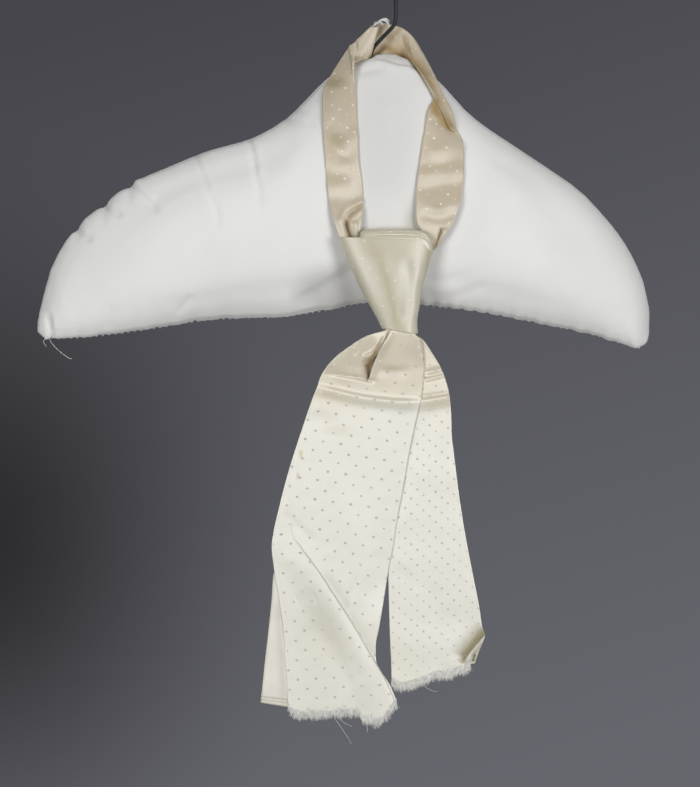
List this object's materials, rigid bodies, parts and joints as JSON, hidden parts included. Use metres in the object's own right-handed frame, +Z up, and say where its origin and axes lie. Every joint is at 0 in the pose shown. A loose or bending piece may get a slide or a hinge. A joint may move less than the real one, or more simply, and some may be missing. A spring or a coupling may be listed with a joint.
{
  "type": "cravat on padded hanger",
  "caption": "Dotted silk cravat tied in a four-in-hand knot, with frayed blade ends, hung by its neckband on a padded muslin clothes hanger with a wire hook.",
  "frame": {"origin": "inner top of the hanger's crook, where the rod bears", "axes": "+X to the viewer's right along the hanger, +Y away from the viewer through its depth, +Z up"},
  "size_m": [0.4425, 0.0863, 0.547],
  "materials": {
    "satin": "cream silk satin with small matte woven dots",
    "neckband_satin": "the same satin, yellowed where it was worn",
    "lining": "plain cream silk, hemmed",
    "thread": "loose off-white silk threads",
    "muslin": "plain-woven white muslin over padding",
    "wire": "black coated wire, satin"
  },
  "bodies": {
    "root": {"hanger_pad": "muslin", "hook_wire": "wire", "band_left": "neckband_satin", "band_right": "neckband_satin", "band_top": "neckband_satin", "knot_wrap": "satin", "knot_core": "satin", "knot_roll": "satin", "blade_front": "satin", "blade_back": "satin", "lining_tail": "lining", "fray_front": "thread", "fray_back": "thread"}
  },
  "joints": []
}
